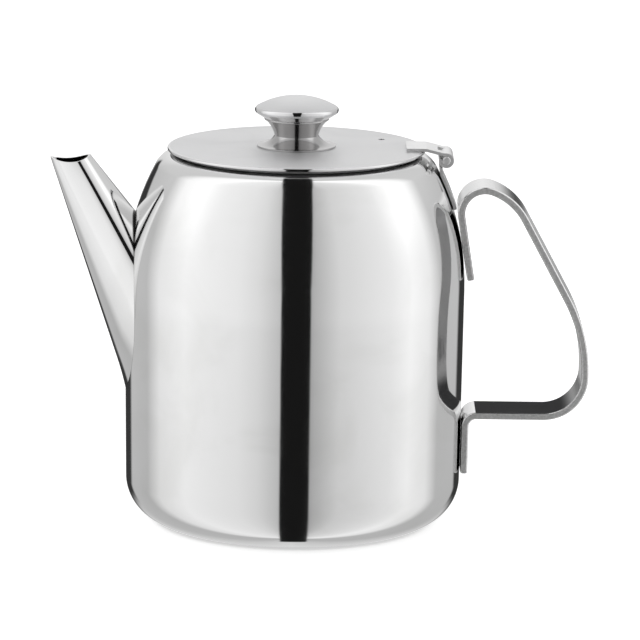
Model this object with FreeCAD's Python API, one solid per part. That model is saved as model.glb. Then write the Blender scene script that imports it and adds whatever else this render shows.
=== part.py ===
import FreeCAD
import Part

import math
import os

from FreeCAD import Vector

# Steel teapot with a hinged lid. Millimetres, +Z up. The origin is the centre of the foot,
# the spout points along -X, the handle along +X, and the hinge pin lies along Y.
# Angles are in degrees.

# Drawn pot
SHEET = 0.8
BODY_RADIUS = 55.0
WALL_DRAFT = 0.6
FOOT_CORNER = 14.3
FOOT_RING = 9.0
FOOT_DISH = 1.2
FOOT_DISH_RUN = 3.0
SHOULDER_HEIGHT = 77.4
SHOULDER_CURVE = 84.0
SHOULDER_SWEEP = 27.7
NECK_CURVE = 8.0
NECK_SWEEP = 80.0
LIP_BEND = 1.2
LIP_DEPTH = 3.0

# Strainer holes drilled through the wall behind the spout
STRAINER_HOLE = 4.0
STRAINER_PITCH = 8.0
STRAINER_ROW_STEP = 7.0
STRAINER_HEIGHT = 70.0
STRAINER_ROWS = (2, 3, 4, 3, 2)

# Spout
SPOUT_TOE_PROUD = 2.57
SPOUT_FRONT_LEAN = 18.4
SPOUT_BACK_LEAN = 38.3
SPOUT_TOE_HEIGHT = 36.0
SPOUT_TOE_CURVE = 16.5
SPOUT_TOE_SINK = 1.2
SPOUT_ROOT_HEIGHT = 92.4
SPOUT_ROOT_WIDTH = 44.4
SPOUT_BELLY = 0.64
SPOUT_STATIONS = 16
SPOUT_STEPS = 4
MOUTH_HEIGHT = 118.9
MOUTH_LENGTH = 13.3
MOUTH_WIDTH = 7.6
MOUTH_DIP = 1.65
MOUTH_TILT = 3.5
MOUTH_SPARE = 3.0

# Handle, one bent strip
STRIP_THICKNESS = 2.3
STRIP_WIDTH = 18.0
STRIP_ROUND = 0.6
HANDLE_LEG_TILT = 9.0
UPPER_LEG_BELOW = 10.0
UPPER_LEG_ABOVE = 10.9
ARCH_RADIUS = 7.6
ARCH_TURN = 120.0
ARCH_EASE_RADIUS = 19.7
LIMB_LEAN = 28.5
LIMB_LENGTH = 29.6
KNEE_RADIUS = 50.7
KNEE_DROP = 1.2
ELBOW_RADIUS = 13.1
LEG_BEND = 3.6
LOWER_LEG = 15.7

# Lid
LID_OVERHANG = 3.25
LID_SHEET = 1.0
LID_CROWN = 0.3
LID_LIFT = 0.8
VENT_HOLE = 2.2
VENT_REACH = 27.6
VENT_OFFSET = 15.5
SEAT_RING_DEPTH = 4.5
SEAT_RING_CLEARANCE = 0.8

# Lid hinge
PIN_RADIUS = 1.35
PIN_CLEARANCE = 0.05
PIN_REACH = 6.7
PIN_DROP = 2.7
PIN_PROUD = 0.3
LEAF_SHEET = 1.0
LEAF_WIDTH = 14.8
LEAF_ON_LID = 6.2
LEAF_JOGGLE = 14.0
LEAF_BEND = 2.0
EYE_WRAP = 285.0
MIDDLE_KNUCKLE = 5.8
KNUCKLE_GAP = 0.2
KNUCKLE_RELIEF = 0.4
BODY_LEAF_WIDTH = 12.0
BODY_LEAF_LOW = 18.0
BODY_LEAF_HIGH = 26.0

# Knob
KNOB_RADIUS = 13.5
KNOB_HEIGHT = 16.4
KNOB_DOME = 25.6
KNOB_RIM = 1.2
KNOB_UNDERCUT = 57.0
KNOB_SKIRT = 3.1
BEAD_HEIGHT = 0.8
SPIGOT_INSET = 0.25
STEM_SPIGOT = 1.0
STEM_BOW = 0.44
WAIST_RADIUS = 7.1
WAIST_HEIGHT = 3.6
KNOB_FOOT_RADIUS = 12.7
KNOB_FOOT_EDGE = 0.5
FOOT_BOW = 0.86
BUSH_LIFT = 1.0
BUSH_LENGTH = 5.0
BUSH_CLEARANCE = 0.05
SCREW_RADIUS = 2.0
SCREW_CLEARANCE = 0.2
SCREW_HEAD_RADIUS = 3.6
SCREW_HEAD_HEIGHT = 2.4
SCREW_SLOT = 0.9
WASHER_RADIUS = 5.0
WASHER_THICKNESS = 0.8

# Gap left where one piece is welded, pressed or clamped onto another
SEAM = 0.02

FULL_TURN = 360.0
TOUCH = 1e-6
CENTRE = Vector(0, 0, 0)
UP = Vector(0, 0, 1)
ACROSS = Vector(0, 1, 0)
SPOUT_WAY = Vector(-1, 0, 0)


def at(across, height):
    """Point on the middle plane, where the profiles are drawn."""
    return Vector(across, 0, height)


def toward(angle):
    """Unit direction on the middle plane, turning from +X towards +Z."""
    turn = math.radians(angle)
    return Vector(math.cos(turn), 0, math.sin(turn))


def tan(angle):
    return math.tan(math.radians(angle))


def line(start, end):
    return Part.LineSegment(start, end).toShape()


def lines(points):
    return [line(start, end) for start, end in zip(points, points[1:])]


def arc(centre, radius, start, end):
    """Arc on the middle plane between two angles."""
    angles = (start, (start + end) / 2, end)
    return Part.Arc(*[centre + toward(angle) * radius for angle in angles]).toShape()


def bowed(start, end, bow):
    """Arc from start to end whose middle stands off the chord, to the left of travel."""
    chord = end - start
    left = Vector(-chord.z, 0, chord.x).normalize()
    return Part.Arc(start, (start + end) * 0.5 + left * bow, end).toShape()


def head(path):
    return path[0].valueAt(path[0].FirstParameter)


def tail(path):
    return path[-1].valueAt(path[-1].LastParameter)


def joined(edges):
    """The edges in order, with a straight line wherever one doesn't start where the last ended."""
    path = edges[:1]
    for edge in edges[1:]:
        if tail(path).distanceToPoint(head([edge])) > TOUCH:
            path.append(line(tail(path), head([edge])))
        path.append(edge)
    return path


def face_of(edges):
    return Part.Face(Part.Wire(Part.sortEdges(edges)[0]))


def filled(edges):
    """Face inside a path that a straight line closes."""
    path = joined(edges)
    return face_of(path + [line(tail(path), head(path))])


def band(one_side, other_side):
    """Face between two paths that run the same way."""
    one, other = joined(one_side), joined(other_side)
    return face_of(one + other + [line(head(one), head(other)), line(tail(one), tail(other))])


def turned(face):
    """Solid of revolution about the pot's axis."""
    return face.revolve(CENTRE, UP, FULL_TURN)


def disc(radius, low, high):
    return Part.makeCylinder(radius, high - low, at(0, low), UP)


def roller(centre, radius, width):
    """Cylinder along Y, centred on the middle plane."""
    return Part.makeCylinder(radius, width, centre - ACROSS * (width / 2), ACROSS)


class BentStrip:
    """Flat strip bent along a path on the middle plane, drawn as its two faces."""

    def __init__(self, start, heading, thickness):
        self.place = start
        self.heading = heading
        self.half = thickness / 2
        self.left = []
        self.right = []

    def run(self, length):
        """Go straight on."""
        step = toward(self.heading) * length
        side = toward(self.heading + 90) * self.half
        self.left.append(line(self.place + side, self.place + side + step))
        self.right.append(line(self.place - side, self.place - side + step))
        self.place = self.place + step

    def bend(self, radius, turn):
        """Bend the middle of the sheet to a radius; a positive turn is to the left."""
        hand = math.copysign(1, turn)
        centre = self.place + toward(self.heading + 90 * hand) * radius
        start = self.heading - 90 * hand
        self.left.append(arc(centre, radius - hand * self.half, start, start + turn))
        self.right.append(arc(centre, radius + hand * self.half, start, start + turn))
        self.place = centre + toward(start + turn) * radius
        self.heading += turn

    def solid(self, width):
        """The strip at its width, centred on the middle plane."""
        face = band(self.left, self.right)
        face.translate(ACROSS * (-width / 2))
        return face.extrude(ACROSS * width)


# Construction of the pot's profile: centres of its tangent arcs, and the heights they give
SHOULDER_CENTRE = at(BODY_RADIUS - SHOULDER_CURVE, SHOULDER_HEIGHT)
NECK_CENTRE = SHOULDER_CENTRE + toward(SHOULDER_SWEEP) * (SHOULDER_CURVE - NECK_CURVE)
LIP_CENTRE = NECK_CENTRE + toward(NECK_SWEEP) * (NECK_CURVE - LIP_BEND)
WALL_NORMAL = toward(-WALL_DRAFT)
WALL_REACH = WALL_NORMAL.dot(SHOULDER_CENTRE) + SHOULDER_CURVE
NECK_BORE = LIP_CENTRE.x - LIP_BEND
NECK_TOP = LIP_CENTRE.z + LIP_BEND


def beside_wall(distance, height):
    """Point at a distance outside the straight wall, at a height."""
    return at((WALL_REACH + distance - WALL_NORMAL.z * height) / WALL_NORMAL.x, height)


CORNER_CENTRE = beside_wall(-FOOT_CORNER, FOOT_CORNER)

# Lid: a shallow dome over the neck
LID_RADIUS = NECK_BORE + LID_OVERHANG
LID_DOME = (LID_RADIUS ** 2 + LID_CROWN ** 2) / (2 * LID_CROWN)
LID_RIM_TOP = NECK_TOP + LID_LIFT + LID_SHEET
LID_CENTRE = at(0, LID_RIM_TOP + LID_CROWN - LID_DOME)


def lid_top(radius):
    return LID_CENTRE.z + math.sqrt(LID_DOME ** 2 - radius ** 2)


def lid_under(radius):
    return LID_CENTRE.z + math.sqrt((LID_DOME - LID_SHEET) ** 2 - radius ** 2)


# Hinge: the pin and the two radii of the rolled eyes
PIN = at(LID_RADIUS + PIN_REACH, LID_RIM_TOP - PIN_DROP)
EYE_MIDDLE = PIN_RADIUS + PIN_CLEARANCE + LEAF_SHEET / 2
EYE_OUTER = PIN_RADIUS + PIN_CLEARANCE + LEAF_SHEET
KNUCKLE_SWEEP = EYE_OUTER + KNUCKLE_RELIEF

# Knob: heights above the lid
KNOB_BASE = lid_top(0) + SEAM
KNOB_DOME_CENTRE = at(0, KNOB_BASE + KNOB_HEIGHT - KNOB_DOME)
KNOB_DOME_SWEEP = math.degrees(math.acos((KNOB_RADIUS - KNOB_RIM) / (KNOB_DOME - KNOB_RIM)))
KNOB_RIM_CENTRE = KNOB_DOME_CENTRE + toward(KNOB_DOME_SWEEP) * (KNOB_DOME - KNOB_RIM)
KNOB_SKIRT_WAY = toward(-KNOB_UNDERCUT - 90)
KNOB_SKIRT_EDGE = KNOB_RIM_CENTRE + toward(-KNOB_UNDERCUT) * KNOB_RIM + KNOB_SKIRT_WAY * KNOB_SKIRT
STEM_BORE = WAIST_RADIUS - SHEET
BUSH_LOW = KNOB_BASE + BUSH_LIFT
BUSH_HIGH = BUSH_LOW + BUSH_LENGTH
WASHER_HIGH = lid_under(WASHER_RADIUS) - SEAM
SCREW_HEAD_HIGH = WASHER_HIGH - WASHER_THICKNESS - SEAM


def pot_side(inset):
    """Side of the pot from the foot to the lip, on the outer face or inset from it."""
    underside = lines([
        at(0, FOOT_DISH + inset),
        at(CORNER_CENTRE.x - FOOT_RING - FOOT_DISH_RUN, FOOT_DISH + inset),
        at(CORNER_CENTRE.x - FOOT_RING, inset),
        at(CORNER_CENTRE.x, inset),
    ])
    return underside + [
        arc(CORNER_CENTRE, FOOT_CORNER - inset, -90, -WALL_DRAFT),
        arc(SHOULDER_CENTRE, SHOULDER_CURVE - inset, -WALL_DRAFT, SHOULDER_SWEEP),
        arc(NECK_CENTRE, NECK_CURVE - inset, SHOULDER_SWEEP, NECK_SWEEP),
        arc(LIP_CENTRE, LIP_BEND - inset, NECK_SWEEP, 180),
    ]


def pot_wall(inset):
    """The side with the lip's turned-down skirt."""
    side = pot_side(inset)
    return side + [line(tail(side), tail(side) - UP * LIP_DEPTH)]


def strainer_holes():
    """Drills for a diamond of holes, in rows one above the other, from inside the pot."""
    middle_row = (len(STRAINER_ROWS) - 1) / 2
    drills = []
    for row, count in enumerate(STRAINER_ROWS):
        height = STRAINER_HEIGHT + (row - middle_row) * STRAINER_ROW_STEP
        for hole in range(count):
            offset = (hole - (count - 1) / 2) * STRAINER_PITCH
            start = Vector(-BODY_RADIUS / 2, offset, height)
            drills.append(Part.makeCylinder(STRAINER_HOLE / 2, BODY_RADIUS, start, SPOUT_WAY))
    return Part.makeCompound(drills)


def pot_body():
    """Drawn shell with its strainer."""
    return turned(band(pot_wall(0), pot_wall(SHEET))).cut(strainer_holes())


def pot_envelope():
    """Everything inside the pot's outer face and a seam round it."""
    side = pot_side(-SEAM)
    return turned(filled(side + [line(tail(side), at(0, tail(side).z))]))


# Spout's front line: straight from the toe's bend, just proud of the wall, to the mouth
SPOUT_BEND_HEIGHT = SPOUT_TOE_HEIGHT + SPOUT_TOE_CURVE
SPOUT_BEND = beside_wall(SPOUT_TOE_PROUD, SPOUT_BEND_HEIGHT).x
MOUTH_FRONT = at(-SPOUT_BEND - (MOUTH_HEIGHT - SPOUT_BEND_HEIGHT) * tan(SPOUT_FRONT_LEAN), MOUTH_HEIGHT)
MOUTH_BACK = MOUTH_FRONT + Vector(MOUTH_LENGTH, 0, 0)


def spout_front(height):
    return at(MOUTH_FRONT.x + (MOUTH_HEIGHT - height) * tan(SPOUT_FRONT_LEAN), height)


def spout_back(height):
    return at(MOUTH_BACK.x + (MOUTH_HEIGHT - height) * tan(SPOUT_BACK_LEAN), height)


def spout_section(front, back, width, inset):
    """Egg-shaped closed curve between the spout's front and back lines.

    The inset is the sheet measured square to each wall, so it grows where the section is oblique.
    """
    way = (back - front).normalize()
    front_normal = toward(SPOUT_FRONT_LEAN)
    back_normal = toward(SPOUT_BACK_LEAN)
    inner_front = front + way * (inset / front_normal.dot(way))
    inner_back = back - way * (inset / back_normal.dot(way))
    belly = inner_front + (inner_back - inner_front) * SPOUT_BELLY
    half_width = width / 2 - inset
    points = []
    for station in range(SPOUT_STATIONS):
        turn = 2 * math.pi * station / SPOUT_STATIONS
        reach = belly - inner_front if math.cos(turn) < 0 else inner_back - belly
        points.append(belly + reach * math.cos(turn) + ACROSS * (half_width * math.sin(turn)))
    curve = Part.BSplineCurve()
    curve.interpolate(Points=points, PeriodicFlag=True, Parameters=list(range(SPOUT_STATIONS + 1)))
    return Part.Wire(curve.toShape())


def spout_loft(inset):
    """Solid from the root inside the pot to just past the mouth."""
    top = MOUTH_HEIGHT + MOUTH_SPARE
    toe = beside_wall(0, SPOUT_TOE_HEIGHT)
    toe_front = at(SPOUT_TOE_SINK - toe.x, SPOUT_TOE_HEIGHT)
    root_back, top_back = spout_back(SPOUT_ROOT_HEIGHT), spout_back(top)
    sections = [spout_section(toe_front, root_back, SPOUT_ROOT_WIDTH, inset)]
    for step in range(SPOUT_STEPS + 1):
        height = SPOUT_BEND_HEIGHT + (top - SPOUT_BEND_HEIGHT) * step / SPOUT_STEPS
        share = (height - SPOUT_TOE_HEIGHT) / (top - SPOUT_TOE_HEIGHT)
        back = root_back + (top_back - root_back) * share
        width = SPOUT_ROOT_WIDTH + (MOUTH_WIDTH - SPOUT_ROOT_WIDTH) * share
        sections.append(spout_section(spout_front(height), back, width, inset))
    return Part.makeLoft(sections, True, False)


def mouth_cutter():
    """Roller that leaves the mouth dished between its two tips."""
    radius = (MOUTH_LENGTH ** 2 / 4 + MOUTH_DIP ** 2) / (2 * MOUTH_DIP)
    middle = (MOUTH_FRONT + MOUTH_BACK) * 0.5
    return roller(middle + toward(90 + MOUTH_TILT) * (radius - MOUTH_DIP), radius, SPOUT_ROOT_WIDTH)


def spout():
    """Tapered tube, trimmed to the pot's side and dished at the mouth."""
    tube = spout_loft(0).cut(spout_loft(SHEET))
    return tube.cut(pot_envelope()).cut(mouth_cutter())


def handle():
    """Strip that leaves the shoulder in an arch, sweeps out and down, and returns to the wall."""
    middle = SEAM + STRIP_THICKNESS / 2
    contact = SHOULDER_CENTRE + toward(HANDLE_LEG_TILT) * (SHOULDER_CURVE + middle)
    up_leg = 90 + HANDLE_LEG_TILT
    strip = BentStrip(contact - toward(up_leg) * UPPER_LEG_BELOW, up_leg, STRIP_THICKNESS)
    strip.run(UPPER_LEG_BELOW + UPPER_LEG_ABOVE)
    strip.bend(ARCH_RADIUS, -ARCH_TURN)
    strip.bend(ARCH_EASE_RADIUS, LIMB_LEAN - 90 - strip.heading)
    strip.run(LIMB_LENGTH)
    strip.bend(KNEE_RADIUS, -LIMB_LEAN)
    strip.run(KNEE_DROP)
    strip.bend(ELBOW_RADIUS, -90)
    bend_end = beside_wall(middle + LEG_BEND, strip.place.z - LEG_BEND)
    strip.run(strip.place.x - bend_end.x)
    strip.bend(LEG_BEND, 90 - WALL_DRAFT)
    strip.run(LOWER_LEG)
    blank = strip.solid(STRIP_WIDTH)
    long_edges = [edge for edge in blank.Edges if abs(abs(edge.CenterOfMass.y) - STRIP_WIDTH / 2) < TOUCH]
    return blank.makeFillet(STRIP_ROUND, long_edges)


def lid():
    """Shallow dome of thick sheet with a full round edge, a screw hole and a steam vent."""
    edge_radius = LID_SHEET / 2
    middle = LID_DOME - edge_radius
    sweep = math.degrees(math.acos((LID_RADIUS - edge_radius) / middle))
    blank = turned(filled([
        arc(LID_CENTRE, LID_DOME, 90, sweep),
        arc(LID_CENTRE + toward(sweep) * middle, edge_radius, sweep, sweep - 180),
        arc(LID_CENTRE, LID_DOME - LID_SHEET, sweep, 90),
    ]))
    low, high = lid_under(LID_RADIUS) - LID_SHEET, lid_top(0) + LID_SHEET
    vent = disc(VENT_HOLE / 2, low, high)
    vent.translate(Vector(VENT_REACH, VENT_OFFSET, 0))
    return blank.cut(disc(SCREW_RADIUS + SCREW_CLEARANCE, low, high)).cut(vent)


def lid_seat_ring():
    """Ring under the lid that drops into the neck and centres the lid."""
    outer = NECK_BORE - SEAT_RING_CLEARANCE
    high = lid_under(outer) - SEAM
    low = high - SEAT_RING_DEPTH
    return disc(outer, low, high).cut(disc(outer - SHEET, low, high))


def lid_hinge_leaf():
    """Strap on the lid that steps down past the rim and rolls round the pin in two outer knuckles."""
    start_x = LID_RADIUS - LEAF_ON_LID
    leaf = BentStrip(at(start_x, lid_top(start_x) + SEAM + LEAF_SHEET / 2), 0, LEAF_SHEET)
    drop = leaf.place.z - (PIN.z + EYE_MIDDLE)
    joggle = math.radians(LEAF_JOGGLE)
    leaf.run(LEAF_ON_LID)
    leaf.bend(LEAF_BEND, -LEAF_JOGGLE)
    leaf.run((drop - 2 * LEAF_BEND * (1 - math.cos(joggle))) / math.sin(joggle))
    leaf.bend(LEAF_BEND, LEAF_JOGGLE)
    leaf.run(PIN.x - leaf.place.x)
    leaf.bend(EYE_MIDDLE, -EYE_WRAP)
    notch_width = MIDDLE_KNUCKLE + 2 * KNUCKLE_GAP
    corner = PIN - Vector(KNUCKLE_SWEEP, notch_width / 2, KNUCKLE_SWEEP)
    notch = Part.makeBox(2 * KNUCKLE_SWEEP, notch_width, LEAF_WIDTH, corner)
    return leaf.solid(LEAF_WIDTH).cut(notch)


def body_hinge_leaf():
    """Strip curved to the shoulder, bent up to the pin and narrowed to one middle knuckle that holds it."""
    middle = SHOULDER_CURVE + SEAM + LEAF_SHEET / 2
    to_pin = PIN - (SHOULDER_CENTRE + toward(BODY_LEAF_HIGH) * (middle + EYE_MIDDLE))
    rise = math.degrees(math.atan2(to_pin.z, to_pin.x))
    leaf = BentStrip(SHOULDER_CENTRE + toward(BODY_LEAF_LOW) * middle, BODY_LEAF_LOW + 90, LEAF_SHEET)
    leaf.bend(middle, BODY_LEAF_HIGH - BODY_LEAF_LOW)
    leaf.bend(EYE_MIDDLE, rise - leaf.heading)
    leaf.run(to_pin.Length)
    leaf.bend(EYE_MIDDLE, -EYE_WRAP)
    sides = roller(PIN, KNUCKLE_SWEEP, BODY_LEAF_WIDTH).cut(roller(PIN, KNUCKLE_SWEEP, MIDDLE_KNUCKLE))
    return leaf.solid(BODY_LEAF_WIDTH).cut(sides)


def hinge_pin():
    """Plain pin with eased ends."""
    pin = roller(PIN, PIN_RADIUS, LEAF_WIDTH + 2 * PIN_PROUD)
    rims = [edge for edge in pin.Edges if isinstance(edge.Curve, Part.Circle)]
    return pin.makeChamfer(PIN_PROUD, rims)


def knob_cap():
    """Pressed dome rolled under at its rim."""
    def side(inset):
        rim = [
            arc(KNOB_DOME_CENTRE, KNOB_DOME - inset, 90, KNOB_DOME_SWEEP),
            arc(KNOB_RIM_CENTRE, KNOB_RIM - inset, KNOB_DOME_SWEEP, -KNOB_UNDERCUT),
        ]
        return rim + [line(tail(rim), tail(rim) + KNOB_SKIRT_WAY * KNOB_SKIRT)]
    return turned(band(side(0), side(SHEET)))


def knob_stem():
    """Waisted stem with a beaded collar under the cap and a spigot inside it."""
    bead_radius = BEAD_HEIGHT / 2
    bead = KNOB_SKIRT_EDGE + KNOB_SKIRT_WAY * (bead_radius + SEAM)
    ledge = bead.z + bead_radius
    spigot = KNOB_SKIRT_EDGE.x - SHEET - SPIGOT_INSET
    foot_edge = at(KNOB_FOOT_RADIUS, KNOB_BASE + KNOB_FOOT_EDGE)
    waist = at(WAIST_RADIUS, KNOB_BASE + WAIST_HEIGHT)
    return turned(filled([
        line(at(STEM_BORE, KNOB_BASE), at(KNOB_FOOT_RADIUS, KNOB_BASE)),
        bowed(foot_edge, waist, FOOT_BOW),
        bowed(waist, bead - UP * bead_radius, STEM_BOW),
        arc(bead, bead_radius, -90, 90),
        line(at(spigot, ledge), at(spigot, ledge + STEM_SPIGOT)),
        line(at(spigot, ledge + STEM_SPIGOT), at(STEM_BORE, ledge + STEM_SPIGOT)),
    ]))


def knob_bush():
    """Tapped bush pressed into the waist of the stem."""
    blank = disc(STEM_BORE - BUSH_CLEARANCE, BUSH_LOW, BUSH_HIGH)
    return blank.cut(disc(SCREW_RADIUS + SEAM, BUSH_LOW, BUSH_HIGH))


def knob_screw():
    """Slotted screw that holds the knob from under the lid."""
    low = SCREW_HEAD_HIGH - SCREW_HEAD_HEIGHT
    screw = disc(SCREW_HEAD_RADIUS, low, SCREW_HEAD_HIGH).fuse(disc(SCREW_RADIUS, low, BUSH_HIGH))
    corner = Vector(-SCREW_HEAD_RADIUS, -SCREW_SLOT / 2, low)
    slot = Part.makeBox(2 * SCREW_HEAD_RADIUS, SCREW_SLOT, SCREW_HEAD_HEIGHT / 2, corner)
    return screw.cut(slot).removeSplitter()


def knob_washer():
    """Flat washer between the screw's head and the lid."""
    low = WASHER_HIGH - WASHER_THICKNESS
    return disc(WASHER_RADIUS, low, WASHER_HIGH).cut(disc(SCREW_RADIUS + SCREW_CLEARANCE, low, WASHER_HIGH))


PIECES = (
    pot_body,
    spout,
    handle,
    body_hinge_leaf,
    hinge_pin,
    lid,
    lid_seat_ring,
    lid_hinge_leaf,
    knob_cap,
    knob_stem,
    knob_bush,
    knob_screw,
    knob_washer,
)

os.makedirs("parts", exist_ok=True)
for piece in PIECES:
    shape = piece()
    if len(shape.Solids) != 1 or not shape.isValid():
        raise RuntimeError(f"{piece.__name__} has {len(shape.Solids)} solids or a broken face")
    shape.Solids[0].exportStep(f"parts/{piece.__name__}.step")
    print(f"{piece.__name__}: {shape.Volume:.1f} mm3")
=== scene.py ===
"""Polished steel teapot with a hinged lid, dressed for a pale studio.

The classes give sizes in millimetres and angles in degrees. Outlines are drawn on the middle plane, y = 0,
with angles that turn from +X, the handle's side, towards +Z. Each finished mesh is scaled to metres.
"""

import logging
import math
from collections.abc import Callable, Iterable
from dataclasses import dataclass
from enum import Enum

import bmesh
import bpy
from mathutils import Matrix, Vector


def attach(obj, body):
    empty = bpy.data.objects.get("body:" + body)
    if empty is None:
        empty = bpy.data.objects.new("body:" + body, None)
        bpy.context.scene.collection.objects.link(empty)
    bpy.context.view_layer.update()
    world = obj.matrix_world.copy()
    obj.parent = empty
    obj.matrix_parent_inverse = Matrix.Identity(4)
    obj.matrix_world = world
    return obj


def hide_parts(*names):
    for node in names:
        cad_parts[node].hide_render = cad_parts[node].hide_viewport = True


LOG = logging.getLogger("teapot")

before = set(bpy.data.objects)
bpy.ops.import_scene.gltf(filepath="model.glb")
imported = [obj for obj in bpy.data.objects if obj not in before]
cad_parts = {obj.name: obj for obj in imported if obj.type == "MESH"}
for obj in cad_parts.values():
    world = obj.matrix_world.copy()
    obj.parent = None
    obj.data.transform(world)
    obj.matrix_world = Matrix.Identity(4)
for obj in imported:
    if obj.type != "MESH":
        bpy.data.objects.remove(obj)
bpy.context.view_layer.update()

MM = 0.001
UP = Vector((0, 0, 1))
ACROSS = Vector((0, 1, 0))
LEFT_TURN = -ACROSS
SPOUT_WAY = Vector((-1, 0, 0))
FULL_TURN = 360.0
HALF_TURN = 180.0
QUARTER_TURN = 90.0
WHITE = (1.0, 1.0, 1.0, 1.0)
MERGE = 1e-4
ROUND_STEPS = 256
BEND_STEP = 2.5
SHARP_EDGE = math.radians(32)


class Body(Enum):
    """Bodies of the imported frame."""

    POT = "pot"
    LID = "lid_assembly"


class Slot(Enum):
    """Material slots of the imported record."""

    MIRROR = "mirror_steel"
    STRIP = "strip_steel"
    SATIN = "satin_steel"
    TURNED = "turned_steel"
    FASTENER = "fastener_steel"


def at(across: float, height: float) -> Vector:
    """Point on the middle plane."""
    return Vector((across, 0, height))


def toward(angle: float) -> Vector:
    """Unit direction on the middle plane."""
    turn = math.radians(angle)
    return Vector((math.cos(turn), 0, math.sin(turn)))


def tan(angle: float) -> float:
    """Tangent of an angle in degrees."""
    return math.tan(math.radians(angle))


def steps_for(angle: float) -> int:
    """Number of facets that keeps a bend smooth."""
    return max(2, math.ceil(abs(angle) / BEND_STEP))


class Pen:
    """Draws a chain of edges on the middle plane, to be turned about the pot's axis."""

    def __init__(self, start: Vector) -> None:
        """Put the pen down."""
        self.bm = bmesh.new()
        self.tip = self.bm.verts.new(start)

    def to(self, place: Vector, parts: int = 1) -> None:
        """Draw a straight line.

        Args:
            place: Where the line ends.
            parts: Number of equal edges in it.
        """
        start = self.tip.co.copy()
        for part in range(1, parts + 1):
            drawn = bmesh.ops.extrude_vert_indiv(self.bm, verts=[self.tip])
            self.tip = drawn["verts"][0]
            self.tip.co = start.lerp(place, part / parts)

    def arc(self, centre: Vector, sweep: float, steps: int = 0) -> None:
        """Draw an arc from the pen's place.

        Args:
            centre: Centre of the arc.
            sweep: Angle to go round; positive turns from +X towards +Z.
            steps: Number of edges, or 0 for as many as a smooth bend needs.
        """
        drawn = bmesh.ops.spin(
            self.bm, geom=[self.tip], cent=centre, axis=LEFT_TURN,
            angle=math.radians(sweep), steps=steps or steps_for(sweep),
        )
        self.tip = next(item for item in drawn["geom_last"] if isinstance(item, bmesh.types.BMVert))

    def bow(self, end: Vector, rise: float) -> None:
        """Draw an arc to a point, with its middle standing off the chord to the left of travel.

        Args:
            end: Where the arc ends.
            rise: How far its middle stands off the chord.
        """
        start = self.tip.co.copy()
        chord = end - start
        left = Vector((-chord.z, 0, chord.x)).normalized()
        radius = (chord.length ** 2 / 4 + rise ** 2) / (2 * rise)
        sweep = -2 * math.degrees(math.asin(chord.length / (2 * radius)))
        self.arc((start + end) / 2 + left * (rise - radius), sweep)

    def turned(self) -> bmesh.types.BMesh:
        """Spin the outline about the pot's axis.

        Returns:
            The closed mesh, with its normals outwards.
        """
        bmesh.ops.remove_doubles(self.bm, verts=self.bm.verts, dist=MERGE)
        outline = self.bm.verts[:] + self.bm.edges[:]
        bmesh.ops.spin(
            self.bm, geom=outline, cent=(0, 0, 0), axis=UP,
            angle=math.radians(FULL_TURN), steps=ROUND_STEPS, use_merge=True,
        )
        bmesh.ops.remove_doubles(self.bm, verts=self.bm.verts, dist=MERGE)
        bmesh.ops.recalc_face_normals(self.bm, faces=self.bm.faces)
        return self.bm


class Strip:
    """Flat strip that is drawn out straight and bent along the middle plane."""

    def __init__(
        self, start: Vector, heading: float, thickness: float, width: float, knuckle: float = 0.0
    ) -> None:
        """Lay down the strip's first end.

        Args:
            start: Middle of the end.
            heading: Angle in which the strip goes on.
            thickness: Thickness of the sheet.
            width: Width along Y.
            knuckle: Width of a middle part that the sheet is divided at, or 0.
        """
        self.bm = bmesh.new()
        self.place = start
        self.heading = heading
        lanes = 3 if knuckle else 1
        end = bmesh.ops.create_grid(self.bm, x_segments=1, y_segments=lanes, size=1)["verts"]
        reach = max(corner.co.y for corner in end)
        inner = [corner for corner in end if abs(corner.co.y) < reach - MERGE]
        outer = [corner for corner in end if corner not in inner]
        for lane, half_width in ((inner, knuckle / 2), (outer, width / 2)):
            for corner in lane:
                corner.co.y = math.copysign(half_width, corner.co.y)
                corner.co.x = math.copysign(thickness / 2, corner.co.x)
        turn = Matrix((toward(heading + QUARTER_TURN), ACROSS, toward(heading))).transposed().to_4x4()
        bmesh.ops.transform(self.bm, matrix=Matrix.Translation(start) @ turn, verts=end)
        self.tip = self.bm.faces[:]

    def keep(self, wanted: Callable[[float], bool]) -> None:
        """Go on with only some lanes of the sheet.

        Args:
            wanted: Test of a lane's middle y.
        """
        self.tip = [face for face in self.tip if wanted(face.calc_center_median().y)]

    def run(self, length: float) -> None:
        """Go straight on.

        Args:
            length: How far to go.
        """
        step = toward(self.heading) * length
        drawn = bmesh.ops.extrude_face_region(self.bm, geom=self.tip)["geom"]
        ends = [item for item in drawn if isinstance(item, bmesh.types.BMVert)]
        bmesh.ops.translate(self.bm, vec=step, verts=ends)
        self.tip = [item for item in drawn if isinstance(item, bmesh.types.BMFace)]
        self.place = self.place + step

    def bend(self, radius: float, turn: float) -> None:
        """Bend the middle of the sheet.

        Args:
            radius: Radius at the middle of the sheet.
            turn: Angle of the bend; positive is to the left of travel.
        """
        hand = math.copysign(1, turn)
        centre = self.place + toward(self.heading + QUARTER_TURN * hand) * radius
        drawn = bmesh.ops.spin(
            self.bm, geom=self.tip, cent=centre, axis=LEFT_TURN,
            angle=math.radians(turn), steps=steps_for(turn),
        )
        self.tip = [item for item in drawn["geom_last"] if isinstance(item, bmesh.types.BMFace)]
        self.heading += turn
        self.place = centre - toward(self.heading + QUARTER_TURN * hand) * radius

    def finished(self) -> bmesh.types.BMesh:
        """The strip's mesh, with its normals outwards."""
        bmesh.ops.recalc_face_normals(self.bm, faces=self.bm.faces)
        return self.bm


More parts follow.
